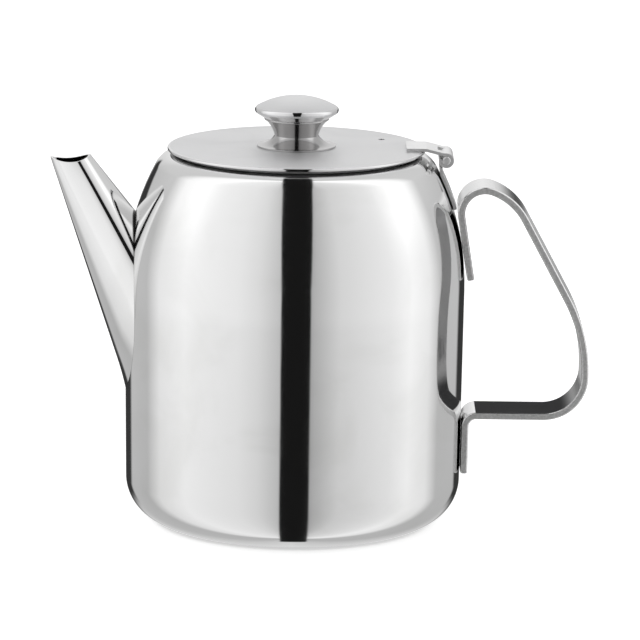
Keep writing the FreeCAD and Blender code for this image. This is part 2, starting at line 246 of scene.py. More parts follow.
def crease(mesh: bpy.types.Mesh) -> None:
    """Shade a mesh smooth, with its real corners left sharp.

    Args:
        mesh: Mesh to shade.
    """
    bm = bmesh.new()
    bm.from_mesh(mesh)
    for face in bm.faces:
        face.smooth = True
    for edge in bm.edges:
        edge.smooth = edge.calc_face_angle(math.pi) < SHARP_EDGE
    bm.to_mesh(mesh)
    bm.free()


def solid_object(name: str, bm: bmesh.types.BMesh) -> bpy.types.Object:
    """Put a mesh drawn in millimetres into the scene.

    Args:
        name: Name of the piece.
        bm: Its mesh, which is used up.

    Returns:
        The new object, in metres.
    """
    bmesh.ops.scale(bm, vec=(MM, MM, MM), verts=bm.verts)
    mesh = bpy.data.meshes.new(name)
    bm.to_mesh(mesh)
    bm.free()
    crease(mesh)
    piece = bpy.data.objects.new(name, mesh)
    bpy.context.scene.collection.objects.link(piece)
    return piece


def made_solid(piece: bpy.types.Object) -> None:
    """Make a piece's modifiers part of its mesh.

    Args:
        piece: Object to settle.
    """
    bpy.context.view_layer.update()
    settled = piece.evaluated_get(bpy.context.evaluated_depsgraph_get())
    mesh = bpy.data.meshes.new_from_object(settled)
    piece.modifiers.clear()
    piece.data = mesh
    crease(mesh)


def carve(piece: bpy.types.Object, cutters: Iterable[bpy.types.Object]) -> None:
    """Cut other shapes out of a piece and remove them.

    Args:
        piece: Object to cut.
        cutters: Closed shapes to cut away.
    """
    for cutter in cutters:
        cut = piece.modifiers.new("cut", "BOOLEAN")
        cut.operation = "DIFFERENCE"
        cut.solver = "EXACT"
        cut.object = cutter
    made_solid(piece)
    for cutter in cutters:
        bpy.data.objects.remove(cutter)


def rod(
    name: str, centre: Vector, way: Vector, radius: float, length: float, facets: int
) -> bpy.types.Object:
    """Plain round bar, used as a drill or cutter.

    Args:
        name: Name of the object.
        centre: Middle of the bar.
        way: Direction of its axis.
        radius: Its radius.
        length: Its length.
        facets: Number of sides.

    Returns:
        The bar as an object.
    """
    bm = bmesh.new()
    bmesh.ops.create_cone(bm, cap_ends=True, segments=facets, radius1=radius, radius2=radius, depth=length)
    turn = UP.rotation_difference(way).to_matrix().to_4x4()
    bmesh.ops.transform(bm, matrix=Matrix.Translation(centre) @ turn, verts=bm.verts)
    return solid_object(name, bm)


def soften(piece: bpy.types.Object, radius: float, segments: int) -> None:
    """Round a piece's sharp edges.

    Args:
        piece: Object to soften.
        radius: Radius of the rounding.
        segments: Facets across it.
    """
    rounding = piece.modifiers.new("rounding", "BEVEL")
    rounding.width = radius * MM
    rounding.segments = segments
    rounding.limit_method = "ANGLE"
    rounding.angle_limit = SHARP_EDGE
    rounding.harden_normals = True
    rounding.material = -1


class NodeBench:
    """Adds and links shader nodes in one tree."""

    def __init__(self, tree: bpy.types.NodeTree) -> None:
        """Clear the tree and take it on."""
        self.tree = tree
        tree.nodes.clear()

    def add(self, kind: str, **settings: object) -> bpy.types.Node:
        """Add a node.

        Args:
            kind: Blender's name of the node's type.
            settings: Properties of the node.

        Returns:
            The new node.
        """
        node = self.tree.nodes.new(kind)
        for name, value in settings.items():
            setattr(node, name, value)
        return node

    def feed(self, target: bpy.types.NodeSocket, value: object) -> None:
        """Link a socket to an input, or set the input to a value.

        Args:
            target: The input.
            value: Socket to link, or value to set.
        """
        if isinstance(value, bpy.types.NodeSocket):
            self.tree.links.new(value, target)
        else:
            target.default_value = value

    def math(self, operation: str, *values: object) -> bpy.types.NodeSocket:
        """Add a Math node.

        Args:
            operation: Name of the operation.
            values: Sockets or numbers to feed it.

        Returns:
            Its result.
        """
        node = self.add("ShaderNodeMath", operation=operation)
        for socket, value in zip(node.inputs, values):
            self.feed(socket, value)
        return node.outputs[0]

    def vector_math(self, operation: str, *values: object) -> bpy.types.Node:
        """Add a Vector Math node.

        Args:
            operation: Name of the operation.
            values: Sockets or vectors to feed it.

        Returns:
            The new node.
        """
        node = self.add("ShaderNodeVectorMath", operation=operation)
        for socket, value in zip(node.inputs, values):
            self.feed(socket, value)
        return node

    def apart(self, vector: bpy.types.NodeSocket) -> bpy.types.Node:
        """Take a vector apart.

        Args:
            vector: Socket of the vector.

        Returns:
            The node with its X, Y and Z.
        """
        node = self.add("ShaderNodeSeparateXYZ")
        self.feed(node.inputs[0], vector)
        return node

    def from_axis(self, place: bpy.types.Node) -> bpy.types.NodeSocket:
        """Distance of a place from the pot's axis.

        Args:
            place: The place, taken apart.

        Returns:
            The distance.
        """
        squares = [self.math("POWER", place.outputs[axis], 2.0) for axis in ("X", "Y")]
        return self.math("SQRT", self.math("ADD", *squares))

    def blend(self, factor: object, *colours: object) -> bpy.types.NodeSocket:
        """Blend two colours.

        Args:
            factor: Share of the second colour.
            colours: The two colours, as values or sockets.

        Returns:
            The blended colour.
        """
        mix = self.add("ShaderNodeMix", data_type="RGBA")
        self.feed(mix.inputs["Factor"], factor)
        for socket, colour in zip([socket for socket in mix.inputs if socket.type == "RGBA"], colours):
            self.feed(socket, colour)
        return mix.outputs[2]

    def spread(
        self, value: object, low: float, high: float, to_low: float, to_high: float
    ) -> bpy.types.NodeSocket:
        """Map one range smoothly onto another.

        Args:
            value: Socket to map.
            low: Start of its range.
            high: End of its range.
            to_low: Result at the start.
            to_high: Result at the end.

        Returns:
            The mapped value.
        """
        node = self.add("ShaderNodeMapRange", interpolation_type="SMOOTHSTEP")
        for socket, number in zip(node.inputs, (value, low, high, to_low, to_high)):
            self.feed(socket, number)
        return node.outputs["Result"]

    def group(self, tree: bpy.types.NodeTree, **values: object) -> bpy.types.NodeSocket:
        """Place a node group.

        Args:
            tree: The group.
            values: Its inputs by name.

        Returns:
            Its first output.
        """
        node = self.add("ShaderNodeGroup", node_tree=tree)
        for name, value in values.items():
            self.feed(node.inputs[name], value)
        return node.outputs[0]


@dataclass
class SteelEffects:
    """Node groups that the steel finishes share."""

    grain_detail: float = 3.0
    mark_detail: float = 4.0
    mark_distortion: float = 0.6
    mark_start: float = 0.42
    mark_full: float = 0.75
    ring_detail: float = 4.0

    def __post_init__(self) -> None:
        """Build each group once."""
        self.grain = self.build_grain()
        self.marks = self.build_marks()
        self.rings = self.build_rings()

    def start(self, name: str, inputs: dict[str, str]) -> tuple[NodeBench, bpy.types.Node, bpy.types.Node]:
        """Begin a group with one output called Mask.

        Args:
            name: Name of the group.
            inputs: Socket types by input name.

        Returns:
            The bench, the group's input node and its output node.
        """
        tree = bpy.data.node_groups.new(name, "ShaderNodeTree")
        for socket, kind in inputs.items():
            tree.interface.new_socket(socket, in_out="INPUT", socket_type=kind)
        tree.interface.new_socket("Mask", in_out="OUTPUT", socket_type="NodeSocketFloat")
        bench = NodeBench(tree)
        return bench, bench.add("NodeGroupInput"), bench.add("NodeGroupOutput")

    def build_grain(self) -> bpy.types.NodeTree:
        """Fine scratches, drawn out along the axis whose stretch is smallest.

        Returns:
            The group.
        """
        bench, given, result = self.start(
            "abrasive grain", {"Vector": "NodeSocketVector", "Stretch": "NodeSocketVector"}
        )
        drawn = bench.vector_math("MULTIPLY", given.outputs["Vector"], given.outputs["Stretch"])
        noise = bench.add("ShaderNodeTexNoise")
        bench.feed(noise.inputs["Vector"], drawn.outputs["Vector"])
        bench.feed(noise.inputs["Scale"], 1.0)
        bench.feed(noise.inputs["Detail"], self.grain_detail)
        bench.feed(result.inputs["Mask"], noise.outputs["Fac"])
        return bench.tree

    def build_marks(self) -> bpy.types.NodeTree:
        """Broad soft patches where the polish is a little dulled by hands and cloths.

        Returns:
            The group.
        """
        bench, given, result = self.start(
            "handling marks", {"Vector": "NodeSocketVector", "Scale": "NodeSocketFloat"}
        )
        noise = bench.add("ShaderNodeTexNoise")
        bench.feed(noise.inputs["Vector"], given.outputs["Vector"])
        bench.feed(noise.inputs["Scale"], given.outputs["Scale"])
        bench.feed(noise.inputs["Detail"], self.mark_detail)
        bench.feed(noise.inputs["Distortion"], self.mark_distortion)
        mask = bench.spread(noise.outputs["Fac"], self.mark_start, self.mark_full, 0.0, 1.0)
        bench.feed(result.inputs["Mask"], mask)
        return bench.tree

    def build_rings(self) -> bpy.types.NodeTree:
        """Fine rings round the pot's axis, as a lathe or a spinning pad leaves them.

        Returns:
            The group.
        """
        bench, given, result = self.start(
            "turning rings", {"Vector": "NodeSocketVector", "Fineness": "NodeSocketFloat"}
        )
        place = bench.apart(given.outputs["Vector"])
        reach = bench.math("ADD", bench.from_axis(place), place.outputs["Z"])
        noise = bench.add("ShaderNodeTexNoise", noise_dimensions="1D")
        bench.feed(noise.inputs["W"], bench.math("MULTIPLY", reach, given.outputs["Fineness"]))
        bench.feed(noise.inputs["Scale"], 1.0)
        bench.feed(noise.inputs["Detail"], self.ring_detail)
        bench.feed(result.inputs["Mask"], noise.outputs["Fac"])
        return bench.tree


@dataclass(frozen=True)
class SteelFinish:
    """One finish of stainless steel.

    The grain's stretch is in cycles per metre along X, Y and Z. The rings' fineness is in cycles per metre
    out from the axis, or 0 for none. The linished edge is the distance from the middle plane past which a
    strip's cut edges show a coarse belt finish, or 0 for none. A rough piece can be polished below a height
    and beyond a distance from the axis. A bent strip can get painted shade, a near-black non-metallic colour,
    on the faces that look in to a middle point, beyond a distance along X, and less of it where they stand
    upright. Crevices get painted shade from ambient occlusion, which also stands for the stain in welded
    seams, as far as the seam reach, or not at all with 0.
    """

    name: str
    tint: tuple[float, float, float]
    worn_tint: tuple[float, float, float]
    roughness: float
    grain_roughness: float
    mark_roughness: float
    relief: float
    grain: tuple[float, float, float]
    rings: float = 0.0
    linished_edge: float = 0.0
    edge_roughness: float = 0.0
    edge_relief: float = 0.0
    edge_blur: float = 0.1
    polish_below: float = 0.0
    polish_beyond: float = 0.0
    polish: float = 0.05
    edge_grain: tuple[float, float, float] = (1500.0, 1500.0, 1500.0)
    inner_shade_beyond: float = 0.0
    inner_shade_middle: tuple[float, float, float] = (68.0, 0.0, 75.0)
    inner_shade_upright: float = 0.5
    inner_shade_level_start: float = 0.5
    inner_shade_level_full: float = 0.9
    inner_shade_edge: float = 0.5
    inner_shade_tint: tuple[float, float, float] = (0.075, 0.075, 0.077)
    seam_stain_and_shade_reach: float = 0.0
    seam_stain_and_shade_open: float = 0.85
    seam_stain_and_shade_closed: float = 0.5
    seam_stain_and_shade_tint: tuple[float, float, float] = (0.12, 0.118, 0.115)
    mark_scale: float = 38.0

    def material(self, effects: SteelEffects) -> bpy.types.Material:
        """Build the finish as a material.

        Args:
            effects: The shared node groups.

        Returns:
            The new material.
        """
        made = bpy.data.materials.new(self.name)
        made.use_nodes = True
        bench = NodeBench(made.node_tree)
        steel = bench.add("ShaderNodeBsdfPrincipled")
        steel.inputs["Metallic"].default_value = 1.0
        shown = bench.add("ShaderNodeOutputMaterial")
        bench.feed(shown.inputs["Surface"], steel.outputs["BSDF"])
        place = bench.add("ShaderNodeTexCoord").outputs["Object"]
        marks = bench.group(effects.marks, Vector=place, Scale=self.mark_scale)
        if self.rings:
            grain = bench.group(effects.rings, Vector=place, Fineness=self.rings)
        else:
            grain = bench.group(effects.grain, Vector=place, Stretch=self.grain)
        roughness = bench.math(
            "ADD",
            bench.math("MULTIPLY_ADD", grain, self.grain_roughness, self.roughness),
            bench.math("MULTIPLY", marks, self.mark_roughness),
        )
        height = bench.math("MULTIPLY", grain, self.relief)
        if self.polish_below or self.polish_beyond:
            polished = self.polished(bench, place)
            smoother = bench.math("SUBTRACT", self.polish, roughness)
            roughness = bench.math("MULTIPLY_ADD", polished, smoother, roughness)
            height = bench.math("MULTIPLY", height, bench.math("SUBTRACT", 1.0, polished))
        worn = marks
        if self.linished_edge:
            edge = self.cut_edge(bench, place)
            belt = bench.group(effects.grain, Vector=place, Stretch=self.edge_grain)
            grit = bench.math("MULTIPLY", edge, belt)
            roughness = bench.math("MULTIPLY_ADD", edge, self.edge_roughness, roughness)
            height = bench.math("MULTIPLY_ADD", grit, self.edge_relief, height)
            worn = bench.math("MAXIMUM", marks, grit)
        colour = bench.blend(worn, (*self.tint, 1.0), (*self.worn_tint, 1.0))
        # Painted shade: the strip's inner faces are turned near-black and non-metallic, more where they face
        # up.
        if self.inner_shade_beyond:
            inner_shade = self.painted_inner_shade(bench, place)
            colour = bench.blend(inner_shade, colour, (*self.inner_shade_tint, 1.0))
            bench.feed(steel.inputs["Metallic"], bench.math("SUBTRACT", 1.0, inner_shade))
            steel.inputs["Specular IOR Level"].default_value = 0.0
        # Painted shade: crevices are darkened by ambient occlusion, which also stands for weld stain in the
        # seams.
        if self.seam_stain_and_shade_reach:
            colour = bench.blend(self.seam(bench), colour, (*self.seam_stain_and_shade_tint, 1.0))
        bench.feed(steel.inputs["Base Color"], colour)
        bench.feed(steel.inputs["Roughness"], roughness)
        bump = bench.add("ShaderNodeBump")
        bump.inputs["Strength"].default_value = 1.0
        bump.inputs["Distance"].default_value = MM
        bench.feed(bump.inputs["Height"], height)
        bench.feed(steel.inputs["Normal"], bump.outputs["Normal"])
        return made

    def painted_inner_shade(self, bench: NodeBench, place: bpy.types.NodeSocket) -> bpy.types.NodeSocket:
        """Mask of the painted shade on the inner side of a bent strip, strongest where the faces look up.

        Args:
            bench: The material's bench.
            place: Object coordinates.

        Returns:
            The mask.
        """
        facing = bench.add("ShaderNodeTexCoord").outputs["Normal"]
        outward = bench.vector_math("SUBTRACT", place, tuple(part * MM for part in self.inner_shade_middle))
        turned = bench.vector_math("DOT_PRODUCT", outward.outputs["Vector"], facing)
        way = bench.apart(facing)
        beyond = bench.math("GREATER_THAN", bench.apart(place).outputs["X"], self.inner_shade_beyond * MM)
        inner = bench.math("MULTIPLY", beyond, bench.math("LESS_THAN", turned.outputs["Value"], 0.0))
        flat = bench.math("LESS_THAN", bench.math("ABSOLUTE", way.outputs["Y"]), self.inner_shade_edge)
        share = bench.spread(
            way.outputs["Z"], self.inner_shade_level_start, self.inner_shade_level_full, self.inner_shade_upright, 1.0
        )
        return bench.math("MULTIPLY", bench.math("MULTIPLY", inner, flat), share)

    def seam(self, bench: NodeBench) -> bpy.types.NodeSocket:
        """Mask of painted shade in crevices, from ambient occlusion, which also stands for the stain left in
        welded seams.

        Args:
            bench: The material's bench.

        Returns:
            The mask.
        """
        near = bench.add("ShaderNodeAmbientOcclusion")
        near.inputs["Distance"].default_value = self.seam_stain_and_shade_reach * MM
        return bench.spread(near.outputs["AO"], self.seam_stain_and_shade_closed, self.seam_stain_and_shade_open, 1.0, 0.0)

    def polished(self, bench: NodeBench, place: bpy.types.NodeSocket) -> bpy.types.NodeSocket:
        """Mask of the part of a dull piece that is polished bright.

        Args:
            bench: The material's bench.
            place: Object coordinates.

        Returns:
            The mask.
        """
        parts = bench.apart(place)
        low = bench.math("LESS_THAN", parts.outputs["Z"], self.polish_below * MM)
        outer = bench.math("GREATER_THAN", bench.from_axis(parts), self.polish_beyond * MM)
        return bench.math("MULTIPLY", low, outer)

    def cut_edge(self, bench: NodeBench, place: bpy.types.NodeSocket) -> bpy.types.NodeSocket:
        """Mask of the cut edges of a strip.

        Args:
            bench: The material's bench.
            place: Object coordinates.

        Returns:
            The mask.
        """
        edge_start = self.linished_edge * MM
        distance = bench.math("ABSOLUTE", bench.apart(place).outputs["Y"])
        return bench.spread(distance, edge_start - self.edge_blur * MM, edge_start, 0.0, 1.0)


@dataclass(frozen=True)
class Finishes:
    """The pot's finishes."""

    # The mirror finish gets painted shade in its crevices from ambient occlusion, which also stands for weld
    # stain.
    mirror: SteelFinish = SteelFinish(
        "mirror polished steel", (0.83, 0.83, 0.83), (0.78, 0.78, 0.775),
        roughness=0.03, grain_roughness=0.05, mark_roughness=0.02, relief=0.0006,
        grain=(2200.0, 2200.0, 90.0), seam_stain_and_shade_reach=1.2,
    )
    # The strip's inner faces beyond 59 mm along X get painted shade.
    strip: SteelFinish = SteelFinish(
        "polished strip steel", (0.84, 0.84, 0.84), (0.42, 0.42, 0.415),
        roughness=0.06, grain_roughness=0.08, mark_roughness=0.04, relief=0.0015,
        grain=(900.0, 90.0, 900.0), linished_edge=8.95, edge_roughness=0.36, edge_relief=0.09,
        mark_scale=0.0, inner_shade_beyond=59.0,
    )
    hinge: SteelFinish = SteelFinish(
        "polished hinge steel", (0.88, 0.88, 0.88), (0.8, 0.8, 0.795),
        roughness=0.34, grain_roughness=0.1, mark_roughness=0.05, relief=0.0015,
        grain=(300.0, 2600.0, 2600.0),
    )
    satin: SteelFinish = SteelFinish(
        "satin lid steel", (0.76, 0.76, 0.765), (0.73, 0.73, 0.735),
        roughness=0.42, grain_roughness=0.12, mark_roughness=0.04, relief=0.002,
        grain=(150.0, 3600.0, 3600.0), polish_below=130.0, polish_beyond=40.9,
    )
    turned: SteelFinish = SteelFinish(
        "turned knob steel", (0.78, 0.78, 0.785), (0.73, 0.73, 0.735),
        roughness=0.36, grain_roughness=0.14, mark_roughness=0.04, relief=0.004,
        grain=(1.0, 1.0, 1.0), rings=4200.0, polish_below=135.6,
    )
    stem: SteelFinish = SteelFinish(
        "polished stem steel", (0.48, 0.475, 0.475), (0.43, 0.425, 0.425),
        roughness=0.07, grain_roughness=0.06, mark_roughness=0.03, relief=0.001,
        grain=(1.0, 1.0, 1.0), rings=5200.0,
    )
    fastener: SteelFinish = SteelFinish(
        "bright fastener steel", (0.70, 0.70, 0.70), (0.60, 0.60, 0.595),
        roughness=0.22, grain_roughness=0.16, mark_roughness=0.08, relief=0.006,
        grain=(1.0, 1.0, 1.0), rings=5200.0,
    )


class Workshop:
    """Builds each finish once and puts the pieces on their bodies."""

    def __init__(self) -> None:
        """Make the materials."""
        effects = SteelEffects()
        finishes = Finishes()
        self.mirror = finishes.mirror.material(effects)
        self.strip = finishes.strip.material(effects)
        self.hinge = finishes.hinge.material(effects)
        self.satin = finishes.satin.material(effects)
        self.turned = finishes.turned.material(effects)
        self.stem = finishes.stem.material(effects)
        self.fastener = finishes.fastener.material(effects)

    def dress(
        self, piece: bpy.types.Object, node: str, body: Body, material: bpy.types.Material
    ) -> bpy.types.Object:
        """Give a new piece its finish, and let it stand for a CAD node.

        Args:
            piece: The finished object.
            node: CAD node that it stands for.
            body: Body that it rides on.
            material: Its finish.

        Returns:
            The same object.
        """
        piece.data.materials.clear()
        piece.data.materials.append(material)
        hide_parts(node)
        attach(piece, body.value)
        LOG.info("%s stands for %s on %s", piece.name, node, body.value)
        return piece

    def coat(self, node: str, material: bpy.types.Material) -> None:
        """Give a CAD node that stays its finish.

        Args:
            node: Name of the node.
            material: Its finish.
        """
        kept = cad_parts[node]
        if not kept.material_slots:
            kept.data.materials.append(material)
        for place in kept.material_slots:
            place.material = material
        LOG.info("%s keeps its own shape", node)


@dataclass
class Pot:
    """Drawn shell of the pot: foot, wall, rounded shoulder, neck and turned-in lip."""

    sheet: float = 0.8
    radius: float = 55.0
    draft: float = 0.6
    corner: float = 14.3
    foot_ring: float = 9.0
    foot_dish: float = 1.2
    foot_dish_run: float = 3.0
    shoulder_height: float = 77.4
    shoulder_curve: float = 84.0
    shoulder_sweep: float = 27.7
    neck_curve: float = 8.0
    neck_sweep: float = 80.0
    lip_bend: float = 1.2
    lip_depth: float = 3.0
    wall_rows: int = 16
    hole: float = 4.0
    hole_pitch: float = 8.0
    hole_row_step: float = 7.0
    hole_height: float = 70.0
    hole_rows: tuple[int, ...] = (2, 3, 4, 3, 2)
    hole_facets: int = 32

    def __post_init__(self) -> None:
        """Work out the centres of the profile's tangent arcs."""
        self.shoulder_centre = at(self.radius - self.shoulder_curve, self.shoulder_height)
        neck_reach = self.shoulder_curve - self.neck_curve
        self.neck_centre = self.shoulder_centre + toward(self.shoulder_sweep) * neck_reach
        self.lip_centre = self.neck_centre + toward(self.neck_sweep) * (self.neck_curve - self.lip_bend)
        self.wall_normal = toward(-self.draft)
        self.wall_reach = self.wall_normal.dot(self.shoulder_centre) + self.shoulder_curve
        self.corner_centre = self.beside_wall(-self.corner, self.corner)
        self.bore = self.lip_centre.x - self.lip_bend
        self.top = self.lip_centre.z + self.lip_bend

    def beside_wall(self, distance: float, height: float) -> Vector:
        """Point at a distance outside the straight wall.

        Args:
            distance: Distance outside the wall.
            height: Height of the point.

        Returns:
            The point.
        """
        return at((self.wall_reach + distance - self.wall_normal.z * height) / self.wall_normal.x, height)

    def draw_side(self, inset: float) -> Pen:
        """Draw the side from the middle of the foot to the lip.

        Args:
            inset: Distance inside the outer face.

        Returns:
            The pen, at the end of the lip.
        """
        ring = self.corner_centre.x - self.foot_ring
        pen = Pen(at(0, self.foot_dish + inset))
        pen.to(at(ring - self.foot_dish_run, self.foot_dish + inset))
        pen.to(at(ring, inset))
        pen.to(at(self.corner_centre.x, inset))
        pen.arc(self.corner_centre, QUARTER_TURN - self.draft)
        pen.to(self.shoulder_centre + toward(-self.draft) * (self.shoulder_curve - inset), self.wall_rows)
        pen.arc(self.shoulder_centre, self.draft + self.shoulder_sweep)
        pen.arc(self.neck_centre, self.neck_sweep - self.shoulder_sweep)
        pen.arc(self.lip_centre, HALF_TURN - self.neck_sweep)
        return pen

    def envelope(self, seam: float) -> bpy.types.Object:
        """Closed block of everything inside the pot's outer face.

        Args:
            seam: Gap left round the face.

        Returns:
            The block, to cut other pieces with.
        """
        pen = self.draw_side(-seam)
        pen.to(at(0, pen.tip.co.z))
        return solid_object("pot_block", pen.turned())

    def strainer_drills(self) -> bpy.types.Object:
        """Make one cutter with a drill for each hole of the strainer's diamond.

        Returns:
            The drills as one object.
        """
        middle_row = (len(self.hole_rows) - 1) / 2
        level = UP.rotation_difference(SPOUT_WAY).to_matrix().to_4x4()
        bm = bmesh.new()
        for row, count in enumerate(self.hole_rows):
            height = self.hole_height + (row - middle_row) * self.hole_row_step
            for hole in range(count):
                offset = (hole - (count - 1) / 2) * self.hole_pitch
                bmesh.ops.create_cone(
                    bm, cap_ends=True, segments=self.hole_facets, depth=self.radius,
                    radius1=self.hole / 2, radius2=self.hole / 2,
                    matrix=Matrix.Translation((-self.radius, offset, height)) @ level,
                )
        return solid_object("strainer_drills", bm)

    def build(self, shop: Workshop) -> None:
        """Make the shell with its strainer.

        Args:
            shop: Workshop that dresses the piece.
        """
        pen = self.draw_side(0)
        skirt_end = pen.tip.co - UP * self.lip_depth
        ring = self.corner_centre.x - self.foot_ring
        thick = self.sheet
        pen.to(skirt_end)
        pen.to(skirt_end + at(thick, 0))
        pen.to(self.lip_centre + toward(HALF_TURN) * (self.lip_bend - thick))
        pen.arc(self.lip_centre, self.neck_sweep - HALF_TURN)
        pen.arc(self.neck_centre, self.shoulder_sweep - self.neck_sweep)
        pen.arc(self.shoulder_centre, -self.draft - self.shoulder_sweep)
        pen.to(self.corner_centre + toward(-self.draft) * (self.corner - thick), self.wall_rows)
        pen.arc(self.corner_centre, self.draft - QUARTER_TURN)
        pen.to(at(ring, thick))
        pen.to(at(ring - self.foot_dish_run, self.foot_dish + thick))
        pen.to(at(0, self.foot_dish + thick))
        shell = solid_object("pot_shell", pen.turned())
        carve(shell, [self.strainer_drills()])
        shop.dress(shell, "pot_body", Body.POT, shop.mirror)


@dataclass
class Spout:
    """Tapered spout of egg-shaped section with a dished mouth."""

    sheet: float = 0.8
    toe_proud: float = 2.57
    front_lean: float = 18.4
    back_lean: float = 38.3
    toe_height: float = 36.0
    toe_curve: float = 16.5
    toe_sink: float = 1.2
    root_height: float = 92.4
    root_width: float = 44.4
    belly: float = 0.64
    mouth_height: float = 118.9
    mouth_length: float = 13.3
    mouth_width: float = 7.6
    mouth_dip: float = 1.65
    mouth_tilt: float = 3.5
    mouth_spare: float = 3.0
    seam: float = 0.02
    facets: int = 112
    toe_rings: int = 12
    body_rings: int = 36
    cutter_facets: int = 160

    def mouth_tip(self, pot: Pot) -> float:
        """Find how far along X the mouth's front tip is, straight up from the toe's bend."""
        bend = self.toe_height + self.toe_curve
        return -pot.beside_wall(self.toe_proud, bend).x - (self.mouth_height - bend) * tan(self.front_lean)

    def front(self, pot: Pot, height: float) -> Vector:
        """Front line of the spout at a height, with the toe swept into the wall.

        Args:
            pot: The pot that it stands on.
            height: Height of the point.

        Returns:
            The point.
        """
        tip = self.mouth_tip(pot)
        below = max(0.0, (self.toe_height + self.toe_curve - height) / self.toe_curve)
        straight_toe = tip + (self.mouth_height - self.toe_height) * tan(self.front_lean)
        sunk_toe = self.toe_sink - pot.beside_wall(0, self.toe_height).x
        straight = tip + (self.mouth_height - height) * tan(self.front_lean)
        return at(straight + (sunk_toe - straight_toe) * below ** 2, height)

    def back(self, pot: Pot, height: float) -> Vector:
        """Back line of the spout at a height."""
        corner = self.mouth_tip(pot) + self.mouth_length
        return at(corner + (self.mouth_height - height) * tan(self.back_lean), height)

    def ring(self, bm: bmesh.types.BMesh, pot: Pot, height: float) -> list[bmesh.types.BMEdge]:
        """Add one egg-shaped ring of the tube.

        Args:
            bm: Mesh to add it to.
            pot: The pot that the spout stands on.
            height: Height of the ring's front.

        Returns:
            The ring's edges.
        """
        top = self.mouth_height + self.mouth_spare
        share = (height - self.toe_height) / (top - self.toe_height)
        front = self.front(pot, height)
        back = self.back(pot, self.root_height).lerp(self.back(pot, top), share)
        width = self.root_width + (self.mouth_width - self.root_width) * share
        length = (back - front).length
        verts = bmesh.ops.create_circle(bm, segments=self.facets, radius=1)["verts"]
        front_half = [vert for vert in verts if vert.co.x < 0]
        back_half = [vert for vert in verts if vert.co.x >= 0]
        bmesh.ops.scale(bm, vec=(length * self.belly, width / 2, 1), verts=front_half)
        bmesh.ops.scale(bm, vec=(length * (1 - self.belly), width / 2, 1), verts=back_half)
        way = (back - front).normalized()
        turn = Matrix((way, ACROSS, way.cross(ACROSS))).transposed().to_4x4()
        middle = front + (back - front) * self.belly
        bmesh.ops.transform(bm, matrix=Matrix.Translation(middle) @ turn, verts=verts)
        return list({edge for vert in verts for edge in vert.link_edges})

    def heights(self) -> list[float]:
        """Heights of the rings, closer together in the toe's curve.

        Returns:
            The heights, from the toe up.
        """
        bend = self.toe_height + self.toe_curve
        top = self.mouth_height + self.mouth_spare
        toe = [self.toe_height + self.toe_curve * step / self.toe_rings for step in range(self.toe_rings)]
        return toe + [bend + (top - bend) * step / self.body_rings for step in range(self.body_rings + 1)]

    def mouth_cutter(self, pot: Pot) -> bpy.types.Object:
        """Roller that leaves the mouth dished between its two tips.

        Args:
            pot: The pot that the spout stands on.

        Returns:
            The roller, to cut the tube with.
        """
        radius = (self.mouth_length ** 2 / 4 + self.mouth_dip ** 2) / (2 * self.mouth_dip)
        middle = at(self.mouth_tip(pot) + self.mouth_length / 2, self.mouth_height)
        centre = middle + toward(QUARTER_TURN + self.mouth_tilt) * (radius - self.mouth_dip)
        return rod("mouth_roller", centre, ACROSS, radius, self.root_width, self.cutter_facets)

    def build(self, shop: Workshop, pot: Pot) -> None:
        """Make the tube, trim it to the pot and dish its mouth.

        Args:
            shop: Workshop that dresses the piece.
            pot: The pot that it stands on.
        """
        bm = bmesh.new()
        rings = [self.ring(bm, pot, height) for height in self.heights()]
        for low, high in zip(rings, rings[1:]):
            bmesh.ops.bridge_loops(bm, edges=low + high)
        bmesh.ops.recalc_face_normals(bm, faces=bm.faces)
        tube = solid_object("spout_tube", bm)
        wall = tube.modifiers.new("wall", "SOLIDIFY")
        wall.thickness = self.sheet * MM
        wall.offset = -1
        made_solid(tube)
        carve(tube, [pot.envelope(self.seam), self.mouth_cutter(pot)])
        shop.dress(tube, "spout", Body.POT, shop.mirror)


@dataclass
class Handle:
    """Open handle, one bent strip welded to the shoulder and to the wall."""

    thickness: float = 2.3
    width: float = 18.0
    edge_round: float = 0.6
    round_segments: int = 4
    leg_tilt: float = 9.0
    leg_below: float = 10.0
    leg_above: float = 10.9
    arch: float = 7.6
    arch_turn: float = 120.0
    arch_ease: float = 19.7
    limb_lean: float = 28.5
    limb: float = 29.6
    knee: float = 50.7
    knee_drop: float = 1.2
    elbow: float = 13.1
    leg_bend: float = 3.6
    lower_leg: float = 15.7
    seam: float = 0.02

    def build(self, shop: Workshop, pot: Pot) -> None:
        """Bend the strip.

        Args:
            shop: Workshop that dresses the piece.
            pot: The pot that it is welded to.
        """
        middle = self.seam + self.thickness / 2
        contact = pot.shoulder_centre + toward(self.leg_tilt) * (pot.shoulder_curve + middle)
        up_leg = QUARTER_TURN + self.leg_tilt
        strip = Strip(contact - toward(up_leg) * self.leg_below, up_leg, self.thickness, self.width)
        strip.run(self.leg_below + self.leg_above)
        strip.bend(self.arch, -self.arch_turn)
        strip.bend(self.arch_ease, self.limb_lean - QUARTER_TURN - strip.heading)
        strip.run(self.limb)
        strip.bend(self.knee, -self.limb_lean)
        strip.run(self.knee_drop)
        strip.bend(self.elbow, -QUARTER_TURN)
        bend_end = pot.beside_wall(middle + self.leg_bend, strip.place.z - self.leg_bend)
        strip.run(strip.place.x - bend_end.x)
        strip.bend(self.leg_bend, QUARTER_TURN - pot.draft)
        strip.run(self.lower_leg)
        piece = solid_object("handle_strip", strip.finished())
        soften(piece, self.edge_round, self.round_segments)
        shop.dress(piece, "handle", Body.POT, shop.strip)


